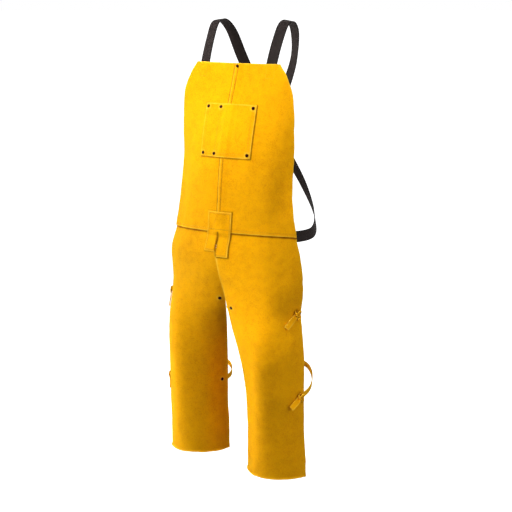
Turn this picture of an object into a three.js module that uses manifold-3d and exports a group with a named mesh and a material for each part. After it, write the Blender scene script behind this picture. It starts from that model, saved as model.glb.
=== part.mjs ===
// Split leg bib apron of golden split cowhide, in the form that it takes when worn.
// Sizes are in millimetres. +Z is up, the apron faces -Y and +X is the wearer's left.
// The origin is midway between the places where the two straps lie on the shoulders.

import * as THREE from "three";
import { mergeVertices } from "three/addons/utils/BufferGeometryUtils.js";
import Module from "manifold-3d";

// Stock
const LEATHER = 2;
const WEBBING = 1.6;
const GAP = 0.6;
const LAYER = LEATHER + GAP;

// Cut of the panels
const BIB_TOP = -116;
const WAIST = -581;
const SEAM_LAP = 7;
const SEAM_FLAT = 9;
const SEAM_EASE = 11;
const SEAM_SHIFT = 8;
const SEAM_TURN = -224;
const WAIST_LAP = 16;
const HEM = { right: -1257, left: -1291 };

// Sections of the bib, shared by its two halves. x and y place the centre seam, start and end
// are the headings of the arc in degrees, width is the half width of the cut leather and sag
// is how far the outer edge lies below the centre.
const BIB = [
  { z: -116, x: 0, y: -95, start: 0, end: 11, width: 135, sag: 0 },
  { z: -150, x: 0, y: -103, start: 0, end: 13, width: 158, sag: 0 },
  { z: -192, x: 0, y: -113, start: 0, end: 17, width: 177, sag: 0 },
  { z: -243, x: 0, y: -128, start: 0, end: 26, width: 187, sag: 2 },
  { z: -300, x: 0, y: -148, start: 0, end: 38, width: 195, sag: 4 },
  { z: -360, x: 0, y: -165, start: 0, end: 47, width: 203, sag: 6 },
  { z: -430, x: 0, y: -177, start: 0, end: 48, width: 206, sag: 8 },
  { z: -500, x: 0, y: -185, start: 0, end: 47, width: 211, sag: 10 },
  { z: -581, x: 0, y: -193, start: 0, end: 48, width: 225, sag: 12 },
];

// Sections of the leg panels below the waist, with x and y at the inner edge.
const LEG = {
  right: [
    { z: -640, x: 7, y: -201, start: -2, end: 52, width: 244, sag: 13 },
    { z: -700, x: 0, y: -189, start: -11, end: 58, width: 261, sag: 12 },
    { z: -750, x: -2, y: -170, start: -23, end: 63, width: 267, sag: 10 },
    { z: -800, x: 4, y: -150, start: -38, end: 68, width: 268, sag: 8 },
    { z: -860, x: 17, y: -122, start: -60, end: 74, width: 272, sag: 7 },
    { z: -930, x: 28, y: -100, start: -76, end: 77, width: 274, sag: 7 },
    { z: -1010, x: 35, y: -87, start: -84, end: 77, width: 272, sag: 8 },
    { z: -1130, x: 37, y: -81, start: -86, end: 76, width: 270, sag: 8 },
    { z: -1257, x: 34, y: -78, start: -86, end: 76, width: 274, sag: 8 },
  ],
  left: [
    { z: -640, x: -5, y: -203, start: 0, end: 51, width: 248, sag: 13 },
    { z: -700, x: -2, y: -197, start: -6, end: 56, width: 253, sag: 12 },
    { z: -750, x: 5, y: -183, start: -14, end: 62, width: 248, sag: 9 },
    { z: -810, x: 14, y: -170, start: -27, end: 77, width: 242, sag: 6 },
    { z: -870, x: 18, y: -153, start: -46, end: 82, width: 254, sag: 4 },
    { z: -930, x: 22, y: -130, start: -62, end: 80, width: 269, sag: 3 },
    { z: -1000, x: 29, y: -101, start: -78, end: 77, width: 275, sag: 2 },
    { z: -1110, x: 36, y: -83, start: -85, end: 75, width: 270, sag: 2 },
    { z: -1291, x: 37, y: -78, start: -86, end: 72, width: 282, sag: 0 },
  ],
};

// Soft folds of the worn leather. Each lifts the surface about one place, across from the inner
// edge, by a bell of a width and a height; a lift below nought is a dent.
const FOLDS = [
  { side: "left", across: 140, z: -960, wide: 45, tall: 300, lift: 12 },
  { side: "left", across: 182, z: -480, wide: 34, tall: 90, lift: -6 },
  { side: "left", across: 214, z: -796, wide: 40, tall: 50, lift: -3 },
  { side: "left", across: 224, z: -885, wide: 40, tall: 44, lift: 4 },
  { side: "left", across: 90, z: -1120, wide: 30, tall: 130, lift: -3 },
  { side: "right", across: 176, z: -450, wide: 36, tall: 90, lift: -4 },
  { side: "right", across: 165, z: -980, wide: 42, tall: 240, lift: 10 },
  { side: "right", across: 70, z: -1080, wide: 26, tall: 150, lift: 3 },
];

// Chest pocket and fly patch, measured across from the centre seam
const POCKET = { top: -229, bottom: -374, from: -81, to: 81, slot: -29 };
const PATCH = { top: -525, right: -636, left: -650, from: -37, to: 38, slit: 1.4 };

// Rivets
const RIVET = {
  cap: 4.8,
  rise: 2,
  shank: 1.8,
  burr: 4,
  burrRise: 1.2,
  clearance: 0.5,
  play: 0.9,
  inset: 9,
};

// Leg ties: height of each tie's slit, place of its rivet from the inner edge and above the slit
const TIE_HEIGHT = {
  right: { upper: -779, lower: -1038 },
  left: { upper: -808, lower: -1046 },
};
const TIE_RIVET = {
  right: { upper: { inset: 16, rise: 0 }, lower: { inset: 27, rise: 0 } },
  left: { upper: { inset: 20, rise: 8 }, lower: { inset: 20, rise: 0 } },
};
const TIE = { width: 16, tuck: 14, slitInset: 14, slit: 13, pass: 3 };

// Loop of each tie behind the leg: how far back it reaches, how high it rises there and the power
// of its bow; and the free end of each tie, with its lean in degrees towards the inner edge.
const TIE_BACK = {
  right: { upper: { y: -20, rise: 20, bow: 2 }, lower: { y: 8, rise: 26, bow: 1 } },
  left: { upper: { y: -20, rise: 20, bow: 2 }, lower: { y: 52, rise: 45, bow: 1 } },
};
const TAIL = {
  right: { upper: { length: 54, lean: 0 }, lower: { length: 46, lean: 0 } },
  left: { upper: { length: 54, lean: 45 }, lower: { length: 46, lean: 50 } },
};
const KNOT = { radius: 4, length: 13 };

// Shoulder straps. The route is that of the left strap, from the shoulder to the right side;
// core is the share of x at which the body's core lies that the strap faces away from.
const STRAP_WIDTH = 32;
const STRAP_ACROSS = 108;
const STRAP_TUCK = 44;
const STRAP_GAP = 0.8;
const STRAP_CROSSING = 2.6;
const STRAP_ROUTE = [
  { x: 110, y: -54, z: -52, core: 0.88 },
  { x: 112, y: -22, z: -8, core: 0.88 },
  { x: 112, y: 12, z: -1, core: 0.88 },
  { x: 106, y: 50, z: -28, core: 0.8 },
  { x: 86, y: 82, z: -110, core: 0.55 },
  { x: 46, y: 98, z: -205, core: 0.55 },
  { x: 0, y: 103, z: -300, core: 0.55 },
  { x: -58, y: 101, z: -392, core: 0.55 },
  { x: -122, y: 82, z: -474, core: 0.55 },
  { x: -184, y: 32, z: -548, core: 0.55 },
  { x: -217, y: -42, z: -586, core: 0.55 },
];

const COLOUR = { leather: 0xf2ab0a, webbing: 0x3a312e, rivet: 0x2a1410 };
const SIGN = { right: -1, left: 1 };
const OTHER = { right: "left", left: "right" };

const wasm = await Module();
wasm.setup();

// Value of one column of a table at a height, on a smooth curve through the rows.
function columnAt(rows, column, z) {
  let i = 0;
  while (i < rows.length - 2 && rows[i + 1].z > z) i += 1;
  const slope = (k) => {
    const a = rows[Math.max(k - 1, 0)];
    const b = rows[Math.min(k + 1, rows.length - 1)];
    return (b[column] - a[column]) / (b.z - a.z);
  };
  const run = rows[i + 1].z - rows[i].z;
  const t = THREE.MathUtils.clamp((z - rows[i].z) / run, 0, 1);
  const t2 = t * t;
  const t3 = t2 * t;
  return (2 * t3 - 3 * t2 + 1) * rows[i][column]
    + (t3 - 2 * t2 + t) * run * slope(i)
    + (3 * t2 - 2 * t3) * rows[i + 1][column]
    + (t3 - t2) * run * slope(i + 1);
}

const SECTIONS = {
  right: [...BIB, ...LEG.right],
  left: [...BIB, ...LEG.left],
};

function widthAt(side, z) {
  return columnAt(SECTIONS[side], "width", z);
}

// Lift of the folds at a place.
function foldLift(side, across, z) {
  return FOLDS.filter((fold) => fold.side === side).reduce((sum, fold) => {
    const sideways = (across - fold.across) / fold.wide;
    const upright = (z - fold.z) / fold.tall;
    return sum + fold.lift * Math.exp(-sideways * sideways - upright * upright);
  }, 0);
}

// Point of the apron's surface, across millimetres from the inner edge at a height.
function surface(side, across, z) {
  const rows = SECTIONS[side];
  const start = THREE.MathUtils.degToRad(columnAt(rows, "start", z));
  const end = THREE.MathUtils.degToRad(columnAt(rows, "end", z));
  const width = widthAt(side, z);
  const bend = (end - start) / width;
  const heading = start + bend * across;
  const fold = foldLift(side, across, z);
  const x = columnAt(rows, "x", z)
    + (Math.sin(heading) - Math.sin(start)) / bend
    + fold * Math.sin(heading);
  const y = columnAt(rows, "y", z)
    + (Math.cos(start) - Math.cos(heading)) / bend
    - fold * Math.cos(heading);
  const drop = columnAt(rows, "sag", z) * (across / width) ** 2;
  return new THREE.Vector3(SIGN[side] * x, y, z - drop);
}

// Directions at a point of the surface: along the section, up the panel and outward.
function axesAt(side, across, z) {
  const step = 0.5;
  const along = surface(side, across + step, z).sub(surface(side, across - step, z)).normalize();
  const upward = surface(side, across, z + step).sub(surface(side, across, z - step));
  const outward = new THREE.Vector3().crossVectors(along, upward).multiplyScalar(SIGN[side]);
  outward.normalize();
  const up = new THREE.Vector3().crossVectors(outward, along).multiplyScalar(SIGN[side]);
  return { along, up, outward };
}

// Point raised above the surface by a lift.
function raised(side, across, z, lift) {
  return surface(side, across, z).addScaledVector(axesAt(side, across, z).outward, lift);
}

// A knot of a net: the inner and the outer point of the leather there.
function knot(side, across, z, lift, thickness = LEATHER) {
  return {
    inner: raised(side, across, z, lift),
    outer: raised(side, across, z, lift + thickness),
  };
}

// Closed wall over a net of knots. Faces run round as seen from outside, and every open edge
// of the net gets a rim.
function wall(knots, faces) {
  const positions = knots.flatMap(({ outer, inner }) => [...outer.toArray(), ...inner.toArray()]);
  const index = [];
  const quad = (a, b, c, d) => index.push(a, b, c, a, c, d);
  const edges = new Set();
  faces.forEach((face) => face.forEach((a, i) => edges.add(`${a},${face[(i + 1) % 4]}`)));
  faces.forEach(([a, b, c, d]) => {
    quad(2 * a, 2 * b, 2 * c, 2 * d);
    index.push(2 * a + 1, 2 * c + 1, 2 * b + 1, 2 * a + 1, 2 * d + 1, 2 * c + 1);
  });
  faces.forEach((face) => face.forEach((a, i) => {
    const b = face[(i + 1) % 4];
    if (!edges.has(`${b},${a}`)) quad(2 * b, 2 * a, 2 * a + 1, 2 * b + 1);
  }));
  const geometry = new THREE.BufferGeometry();
  geometry.setAttribute("position", new THREE.Float32BufferAttribute(positions, 3));
  geometry.setIndex(index);
  return geometry;
}

// Faces of a plain net of rows and columns, first row at the top; keep drops some of them.
function netFaces(rows, columns, mirrored, keep = () => true) {
  const faces = [];
  for (let r = 0; r < rows - 1; r += 1) {
    for (let c = 0; c < columns - 1; c += 1) {
      const a = r * columns + c;
      const face = [a, a + columns, a + columns + 1, a + 1];
      if (keep(r, c)) faces.push(mirrored ? face.reverse() : face);
    }
  }
  return faces;
}

// Even steps from one value to another.
function steps(from, to, count) {
  return Array.from({ length: count + 1 }, (_, i) => from + (to - from) * i / count);
}

// Wall over one side of the apron. columnsAt gives the distances across at a height.
function panel(side, heights, columnsAt, liftAt) {
  const knots = heights.flatMap((z) => columnsAt(z).map((s) => knot(side, s, z, liftAt(s, z))));
  return wall(knots, netFaces(heights.length, columnsAt(heights[0]).length, side === "right"));
}

// Band along sections that each have a centre, a direction across and an outward one.
function band(sections, width, thickness) {
  const knots = sections.flatMap(({ centre, across, outward }) => [-0.5, 0.5].map((half) => {
    const middle = centre.clone().addScaledVector(across, half * width);
    return {
      inner: middle.clone().addScaledVector(outward, -thickness / 2),
      outer: middle.clone().addScaledVector(outward, thickness / 2),
    };
  }));
  return wall(knots, netFaces(sections.length, 2, false));
}

// Sections of a band along a smooth route of stations, each with a place and an outward hint.
function follow(stations, count) {
  const places = new THREE.CatmullRomCurve3(stations.map((s) => s.place), false, "centripetal");
  const hints = new THREE.CatmullRomCurve3(stations.map((s) => s.outward), false, "centripetal");
  return steps(0, 1, count).map((t) => {
    const tangent = places.getTangent(t);
    const across = new THREE.Vector3().crossVectors(hints.getPoint(t), tangent).normalize();
    const outward = new THREE.Vector3().crossVectors(tangent, across).normalize();
    return { centre: places.getPoint(t), across, outward };
  });
}

// Closed bodies joined or cut
function toManifold(geometry) {
  const plain = geometry.clone();
  plain.deleteAttribute("normal");
  plain.deleteAttribute("uv");
  const merged = mergeVertices(plain, 1e-4);
  return new wasm.Manifold(new wasm.Mesh({
    numProp: 3,
    vertProperties: new Float32Array(merged.attributes.position.array),
    triVerts: new Uint32Array(merged.index.array),
  }));
}

function fromManifold(body) {
  const mesh = body.getMesh();
  const geometry = new THREE.BufferGeometry();
  geometry.setAttribute("position", new THREE.BufferAttribute(mesh.vertProperties, mesh.numProp));
  geometry.setIndex(new THREE.BufferAttribute(mesh.triVerts, 1));
  return geometry;
}

function cut(geometry, tools) {
  const whole = toManifold(geometry);
  return fromManifold(tools.reduce((body, tool) => body.subtract(toManifold(tool)), whole));
}

function joined(geometries) {
  return fromManifold(geometries.map(toManifold).reduce((a, b) => a.add(b)));
}

// Moves a geometry made about the origin to a place on the surface: its Y goes outward,
// its X along the section.
function seat(geometry, side, across, z, lift, turn = 0) {
  const { along, outward } = axesAt(side, across, z);
  const x = along.clone().applyAxisAngle(outward, turn);
  const frame = new THREE.Matrix4().makeBasis(x, outward, new THREE.Vector3().crossVectors(x, outward));
  frame.setPosition(raised(side, across, z, lift));
  return geometry.applyMatrix4(frame);
}

// Above the pocket the centre seam leans towards the left.
function seamShift(z) {
  return SEAM_SHIFT * THREE.MathUtils.clamp((z - SEAM_TURN) / (BIB_TOP - SEAM_TURN), 0, 1);
}

// Layers of leather at the centre seam: the left half rises over the right one.
function seamLift(across, z) {
  const flat = SEAM_FLAT + seamShift(z);
  return LAYER * (1 - THREE.MathUtils.clamp((across - flat) / SEAM_EASE, 0, 1));
}

// Lift of a piece that lies over both halves of the bib.
function coverLift(across, z) {
  return LAYER + seamLift(Math.abs(across), z);
}

// Knot on either side of the centre line, with distances towards the left counted up.
function knotAcross(across, z, lift) {
  return across < 0 ? knot("right", -across, z, lift) : knot("left", across, z, lift);
}

// Place on the bib for a rivet, and its sides
function rivetPlace(across, z, lift, grip) {
  const side = across < 0 ? "right" : "left";
  return { side, across: Math.abs(across), z, lift, grip };
}

// Rivet with a domed cap on the front, a shank through the leather and a burr behind.
function rivetBody({ side, across, z, lift, grip }) {
  const front = RIVET.play / 2;
  const back = -grip - RIVET.play / 2;
  const profile = [
    [0, front + RIVET.rise],
    [RIVET.cap * 0.62, front + RIVET.rise * 0.82],
    [RIVET.cap, front + RIVET.rise * 0.25],
    [RIVET.cap, front],
    [RIVET.shank, front],
    [RIVET.shank, back],
    [RIVET.burr, back],
    [RIVET.burr, back - RIVET.burrRise],
    [0, back - RIVET.burrRise],
  ];
  const points = profile.reverse().map(([r, y]) => new THREE.Vector2(r, y));
  return seat(new THREE.LatheGeometry(points, 8), side, across, z, lift);
}

function rivetHole({ side, across, z, lift, grip }) {
  const hole = new THREE.CylinderGeometry(
    RIVET.shank + RIVET.clearance, RIVET.shank + RIVET.clearance, grip + 12, 6,
  );
  return seat(hole, side, across, z, lift - grip / 2);
}

// Bib halves
const bibHeights = steps(BIB_TOP, WAIST, 21);

function bibColumns(side) {
  return (z) => {
    const shift = seamShift(z);
    const flat = SEAM_FLAT + shift;
    const lap = -SEAM_LAP + SIGN[side] * shift;
    return [lap, flat, ...steps(flat + SEAM_EASE, widthAt(side, z), 10)];
  };
}

// Pocket over the centre seam
const seamSteps = [-SEAM_FLAT - SEAM_EASE, -SEAM_FLAT, SEAM_FLAT, SEAM_FLAT + SEAM_EASE];

function pocketBody() {
  const columns = [
    ...steps(POCKET.from, seamSteps[0], 4),
    ...seamSteps.slice(1, 3),
    ...steps(seamSteps[3], POCKET.to, 5),
  ];
  const heights = steps(POCKET.top, POCKET.bottom, 8);
  const knots = heights.flatMap((z) => columns.map((s) => knotAcross(s, z, coverLift(s, z))));
  return wall(knots, netFaces(heights.length, columns.length, false));
}

// Patch over the foot of the seam: above the waist it covers the bib, below it lies on the
// leg panels as two tabs.
function patchBody() {
  const half = PATCH.slit / 2;
  const columns = [PATCH.from, ...seamSteps.slice(0, 2), -half, half, ...seamSteps.slice(2), PATCH.to];
  const fall = [0, 0.34, 0.68, 0.98];
  const tabs = [1.04, 1.2, 1.4, 1.7, 2];
  const drop = (share, s) => {
    const foot = s < 0 ? PATCH.right : PATCH.left;
    return share <= 1
      ? PATCH.top + (WAIST - PATCH.top) * share
      : WAIST + (foot - WAIST) * (share - 1);
  };
  const lift = (share, s) => {
    const ease = THREE.MathUtils.clamp((share - 1.04) / 0.16, 0, 1);
    return coverLift(s, drop(share, s)) * (1 - ease);
  };
  const shares = [...fall, ...tabs];
  const knots = shares.flatMap((share) => columns.map(
    (s) => knotAcross(s, drop(share, s), lift(share, s)),
  ));
  const slit = columns.indexOf(-half);
  const keep = (row, column) => column !== slit || row < fall.length;
  return wall(knots, netFaces(shares.length, columns.length, false, keep));
}

// Leg panels, tucked under the bib at the waist
function legBody(side) {
  const heights = [WAIST + WAIST_LAP, ...steps(WAIST, HEM[side], 26)];
  const columns = (z) => steps(GAP / 2, widthAt(side, z), 13);
  return panel(side, heights, columns, () => -LAYER);
}

// Leg ties
function tieStation(side, across, z, lift) {
  return { place: raised(side, across, z, lift), outward: axesAt(side, across, z).outward };
}

function tieBody(side, level) {
  const z = TIE_HEIGHT[side][level];
  const width = widthAt(side, z);
  const inside = -LAYER - 2 * GAP - LEATHER / 2;
  const outside = LEATHER / 2 + GAP;
  const slit = width - TIE.slitInset;
  const from = tieStation(side, 0, z, inside);
  const to = tieStation(side, width, z, inside);
  const middle = from.place.clone().lerp(to.place, 0.5);
  const reach = from.place.clone().sub(middle);
  const { y: farthest, rise, bow } = TIE_BACK[side][level];
  const behind = farthest - middle.y;
  const back = steps(0, Math.PI, 10).slice(1, -1).map((t) => {
    const outward = reach.clone().multiplyScalar(Math.cos(t) / reach.length());
    outward.y += Math.sin(t);
    const place = middle.clone().addScaledVector(reach, Math.cos(t));
    place.y += behind * Math.sin(t) ** bow;
    place.z += rise * Math.sin(t) ** 2;
    return { place, outward };
  });
  const { inset, rise: step } = TIE_RIVET[side][level];
  const route = [
    tieStation(side, inset + TIE.tuck, z + step, inside),
    tieStation(side, inset, z + step, inside),
    tieStation(side, 9, z + step / 2, inside),
    tieStation(side, 1, z, inside),
    tieStation(side, -6, z, inside),
    ...back,
    tieStation(side, width - 1, z, inside),
    tieStation(side, slit + TIE.pass + 3, z, inside),
    tieStation(side, slit + TIE.pass, z, inside),
    tieStation(side, slit - TIE.pass, z, outside),
    tieStation(side, slit - TIE.pass - 3, z, outside),
  ];
  const strip = band(follow(route, 36), TIE.width, LEATHER);
  const lean = THREE.MathUtils.degToRad(TAIL[side][level].lean);
  const tail = steps(0, TAIL[side][level].length, 5).map((t) => {
    const s = slit - 2 - t * Math.sin(lean);
    const height = z - t * Math.cos(lean);
    const { along, up, outward } = axesAt(side, s, height);
    const across = along.multiplyScalar(Math.cos(lean)).addScaledVector(up, -Math.sin(lean));
    across.multiplyScalar(SIGN[side]);
    return { centre: raised(side, s, height, outside), across, outward };
  });
  const flap = band(tail, TIE.width, LEATHER);
  const roll = new THREE.CapsuleGeometry(KNOT.radius, KNOT.length, 2, 7).rotateZ(Math.PI / 2);
  const turn = -lean * SIGN[side];
  return joined([strip, flap, seat(roll, side, slit - 3, z - 3, KNOT.radius + GAP, turn)]);
}

function tieSlit(side, level) {
  const z = TIE_HEIGHT[side][level];
  const tool = new THREE.BoxGeometry(TIE.slit, 14, TIE.width + 2 * GAP);
  return seat(tool, side, widthAt(side, z) - TIE.slitInset, z, -LAYER);
}

function tieRivet(side, level) {
  const { inset, rise } = TIE_RIVET[side][level];
  const z = TIE_HEIGHT[side][level] + rise;
  return { side, across: inset, z, lift: -GAP, grip: LEATHER + LAYER + GAP };
}

// Shoulder straps: sewn inside the bib's top, crossed behind, and sewn inside the other side
function strapBody(side) {
  const sign = SIGN[side];
  const inside = -STRAP_GAP - WEBBING / 2;
  const upper = [BIB_TOP - STRAP_TUCK, BIB_TOP - STRAP_TUCK / 2, BIB_TOP - 2]
    .map((z) => tieStation(side, STRAP_ACROSS, z, inside));
  const free = STRAP_ROUTE.map(({ x, y, z, core }, i) => {
    const over = side === "left" && i >= 4 && i <= 8 ? STRAP_CROSSING : 0;
    const place = new THREE.Vector3(sign * x, y + over, z);
    const middle = new THREE.Vector3(sign * x * core, 0, Math.min(z, -90));
    return { place, outward: place.clone().sub(middle).normalize() };
  });
  const far = OTHER[side];
  const edge = widthAt(far, WAIST);
  const lower = [2, 16, 32].map((s) => tieStation(far, edge - s, WAIST + 2, inside - LAYER));
  return band(follow([...upper, ...free, ...lower], 64), STRAP_WIDTH, WEBBING);
}

// Rivets of the bib and the pocket
const rivetTop = rivetPlace(SEAM_SHIFT, BIB_TOP - RIVET.inset, LAYER + LEATHER, LAYER + LEATHER);
const rivetColumns = [POCKET.from + RIVET.inset, POCKET.slot, POCKET.to - RIVET.inset];
const rivetRows = [POCKET.top - RIVET.inset, POCKET.bottom + RIVET.inset];
const pocketRivets = rivetRows.flatMap((z) => rivetColumns.map(
  (across) => rivetPlace(across, z, LAYER + LEATHER, LAYER + LEATHER),
));
const bibHoles = [rivetTop, ...pocketRivets].map(rivetHole);

const leather = { color: COLOUR.leather, roughness: 0.92, metalness: 0 };
const webbing = { color: COLOUR.webbing, roughness: 0.8, metalness: 0 };
const metal = { color: COLOUR.rivet, roughness: 0.35, metalness: 0.9 };

const apron = new THREE.Group();
apron.name = "split_leg_bib_apron";

function add(name, geometry, finish) {
  const mesh = new THREE.Mesh(geometry, new THREE.MeshStandardMaterial(finish));
  mesh.name = name;
  apron.add(mesh);
}

add("bib_right", cut(panel("right", bibHeights, bibColumns("right"), () => 0), bibHoles), leather);
add("bib_left", cut(panel("left", bibHeights, bibColumns("left"), seamLift), bibHoles), leather);
add("chest_pocket", cut(pocketBody(), pocketRivets.map(rivetHole)), leather);
add("fly_patch", patchBody(), leather);
add("rivet_top", rivetBody(rivetTop), metal);
pocketRivets.forEach((place, i) => add(`rivet_pocket_${i + 1}`, rivetBody(place), metal));

["right", "left"].forEach((side) => {
  const levels = ["upper", "lower"];
  const tools = levels.flatMap((level) => [tieSlit(side, level), rivetHole(tieRivet(side, level))]);
  add(`leg_${side}`, cut(legBody(side), tools), leather);
  add(`strap_${side}`, strapBody(side), webbing);
  levels.forEach((level) => {
    const rivet = tieRivet(side, level);
    add(`tie_${side}_${level}`, cut(tieBody(side, level), [rivetHole(rivet)]), leather);
    add(`rivet_tie_${side}_${level}`, rivetBody(rivet), metal);
  });
});

export default apron;
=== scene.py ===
# Looks of a split leg bib apron of golden split cowhide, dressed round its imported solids.
# The tables are in millimetres in the frame of the solids; meshes are made in metres.

import math
from functools import partial, reduce
from types import SimpleNamespace as Sizes

import bpy
import numpy as np
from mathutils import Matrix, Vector


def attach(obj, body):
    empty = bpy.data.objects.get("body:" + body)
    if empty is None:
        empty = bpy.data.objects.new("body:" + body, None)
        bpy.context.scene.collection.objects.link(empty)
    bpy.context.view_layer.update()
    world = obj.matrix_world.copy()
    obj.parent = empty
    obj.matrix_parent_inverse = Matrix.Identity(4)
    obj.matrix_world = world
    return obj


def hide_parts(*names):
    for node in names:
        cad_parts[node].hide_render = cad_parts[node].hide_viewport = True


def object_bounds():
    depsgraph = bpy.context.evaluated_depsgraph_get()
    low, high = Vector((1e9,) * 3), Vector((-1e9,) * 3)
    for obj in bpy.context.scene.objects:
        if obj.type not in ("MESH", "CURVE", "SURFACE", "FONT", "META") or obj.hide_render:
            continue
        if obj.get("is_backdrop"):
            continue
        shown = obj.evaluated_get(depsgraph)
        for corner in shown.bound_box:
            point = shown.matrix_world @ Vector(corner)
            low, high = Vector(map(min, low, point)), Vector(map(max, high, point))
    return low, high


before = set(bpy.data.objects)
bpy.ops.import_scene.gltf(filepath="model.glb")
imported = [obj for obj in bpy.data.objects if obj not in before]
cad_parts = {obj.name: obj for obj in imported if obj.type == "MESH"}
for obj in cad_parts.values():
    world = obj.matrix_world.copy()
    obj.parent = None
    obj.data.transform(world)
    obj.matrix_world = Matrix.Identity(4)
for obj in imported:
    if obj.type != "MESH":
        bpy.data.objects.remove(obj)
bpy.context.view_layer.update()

MM = 0.001
SIGN = {"right": -1, "left": 1}
OTHER = {"right": "left", "left": "right"}
LEVELS = ("upper", "lower")

# Stock
LEATHER = 2
WEBBING = 1.6
GAP = 0.6
LAYER = LEATHER + GAP

# Mesh lines beside a cut edge, the reach of its rounding and the share of thickness left at it
EDGE_STEPS = np.array([0, 0.25, 0.6, 1.1])
EDGE_ROUND = 1.1
EDGE_LEFT = 0.35

# Cut of the panels
BIB_TOP = -116
WAIST = -581
SEAM = Sizes(lap=7, flat=9, ease=11, shift=8, turn=-224, row=2.5)
WAIST_LAP = 16
HEM = {"right": -1257, "left": -1291}

# Sections, with the headings of each arc in degrees and the sag of its outer edge
COLUMNS = ("z", "x", "y", "start", "end", "width", "sag")
BIB = (
    (-116, 0, -95, 0, 11, 135, 0),
    (-150, 0, -103, 0, 13, 158, 0),
    (-192, 0, -113, 0, 17, 177, 0),
    (-243, 0, -128, 0, 26, 187, 2),
    (-300, 0, -148, 0, 38, 195, 4),
    (-360, 0, -165, 0, 47, 203, 6),
    (-430, 0, -177, 0, 48, 206, 8),
    (-500, 0, -185, 0, 47, 211, 10),
    (-581, 0, -193, 0, 48, 225, 12),
)
LEG = {
    "right": (
        (-640, 7, -201, -2, 52, 244, 13),
        (-700, 0, -189, -11, 58, 261, 12),
        (-750, -2, -170, -23, 63, 267, 10),
        (-800, 4, -150, -38, 68, 268, 8),
        (-860, 17, -122, -60, 74, 272, 7),
        (-930, 28, -100, -76, 77, 274, 7),
        (-1010, 35, -87, -84, 77, 272, 8),
        (-1130, 37, -81, -86, 76, 270, 8),
        (-1257, 34, -78, -86, 76, 274, 8),
    ),
    "left": (
        (-640, -5, -203, 0, 51, 248, 13),
        (-700, -2, -197, -6, 56, 253, 12),
        (-750, 5, -183, -14, 62, 248, 9),
        (-810, 14, -170, -27, 77, 242, 6),
        (-870, 18, -153, -46, 82, 254, 4),
        (-930, 22, -130, -62, 80, 269, 3),
        (-1000, 29, -101, -78, 77, 275, 2),
        (-1110, 36, -83, -85, 75, 270, 2),
        (-1291, 37, -78, -86, 72, 282, 0),
    ),
}

# Soft folds: side, distance across, height, width, tallness and lift of each bell
FOLDS = (
    ("left", 140, -960, 45, 300, 12),
    ("left", 182, -480, 34, 90, -6),
    ("left", 214, -796, 40, 50, -3),
    ("left", 224, -885, 40, 44, 4),
    ("left", 90, -1120, 30, 130, -3),
    ("right", 176, -450, 36, 90, -4),
    ("right", 165, -980, 42, 240, 10),
    ("right", 70, -1080, 26, 150, 3),
)

# Ripples of the leather: size of a bump, lift and seed of each layer
RIPPLES = ((62, 1.5, 11), (27, 0.5, 23), (12, 0.16, 31))
LATTICE = Sizes(cells=(96, 160), start=(40, 6))

# Waves of the cut edges: lift, size of a bump and seed
BIB_WAVE = Sizes(lift=0.7, cell=14, seed=5)
LEG_WAVE = Sizes(lift=0.8, cell=17, seed=8)
HEM_WAVE = Sizes(lift=1.1, cell=19, seed=41, reach=60)

# The cut hem curls a little outwards over its last few millimetres, less so at its ends
HEM_CURL = Sizes(out=3.0, reach=8.0, fade=30)
HEM_ROWS = np.array([0, 0.3, 0.7, 1.2, 2, 3, 4.2, 5.6, 7.2])
HEM_END = 9

# Pocket with its bulges at the mouth and a dent, and patch with the way its tabs lie
POCKET = Sizes(top=-229, bottom=-374, start=-81, end=81, slot=-29)
POCKET_MOUTH = Sizes(depth=26, bulge=2.6, slot_bulge=1.2)
POCKET_DENT = Sizes(across=44, z=-268, lean=0.5, wide=9, tall=22, lift=-1.0)
PATCH = Sizes(top=-525, right=-636, left=-650, start=-37, end=38, slit=1.4)
TABS = Sizes(ease_from=1.04, ease_over=0.16, curl_from=1.45, right_curl=2.0, left_curl=6.0)
RIVET = Sizes(cap=4.8, rise=2, shank=1.8, burr=4, burr_rise=1.2, play=0.9, inset=9)
RIVET_RING = Sizes(wear=0.75, radius=7.5, wide=1.8)

# Ties: height of each, inset and rise of its rivet, its way behind the leg, and its free end
TIE_COLUMNS = ("z", "inset", "rise", "back", "back_rise", "bow", "length", "lean", "lift", "twist")
TIE_ROWS = {
    ("right", "upper"): (-779, 16, 0, -20, 20, 2, 54, 0, 0.5, 0),
    ("right", "lower"): (-1038, 27, 0, 8, 26, 1, 46, 0, 0.5, 0),
    ("left", "upper"): (-808, 20, 8, -20, 20, 2, 54, 45, 1.0, 4),
    ("left", "lower"): (-1046, 20, 0, 52, 45, 1, 46, 50, 3.5, 34),
}
TIES = {place: Sizes(**dict(zip(TIE_COLUMNS, row))) for place, row in TIE_ROWS.items()}
TIE = Sizes(width=16, tuck=14, slit_inset=14, through=3)

# Distances across at which a tie goes round the inner edge, and the share of its rivet's rise there
TIE_ENTRY = (9, 1, -6)
TIE_RISE = np.array([1, 1, 0.5, 0, 0])

# Form of the free ends, and the knots
TAIL_FORM = Sizes(
    rest=0.2, wave=0.6, pitch=9, twist_over=20,
    pinch=0.6, pinch_over=14, pinch_power=0.8,
)
KNOT = {
    "right": Sizes(across=8, tall=10, deep=1.6, lace=5.0, thick=2.4, lift=3.0),
    "left": Sizes(across=10.5, tall=13, deep=3.8, lace=5.4, thick=4.0, lift=6.0),
}
KNOT_OFFSET = 3.0

# Straps
STRAP = Sizes(width=32, across=108, tuck=44, gap=0.8, crossing=2.6)
CROSSING_ROWS = slice(4, 9)
CORE_TOP = -90
STRAP_ENDS = np.array([2, 16, 32])

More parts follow.
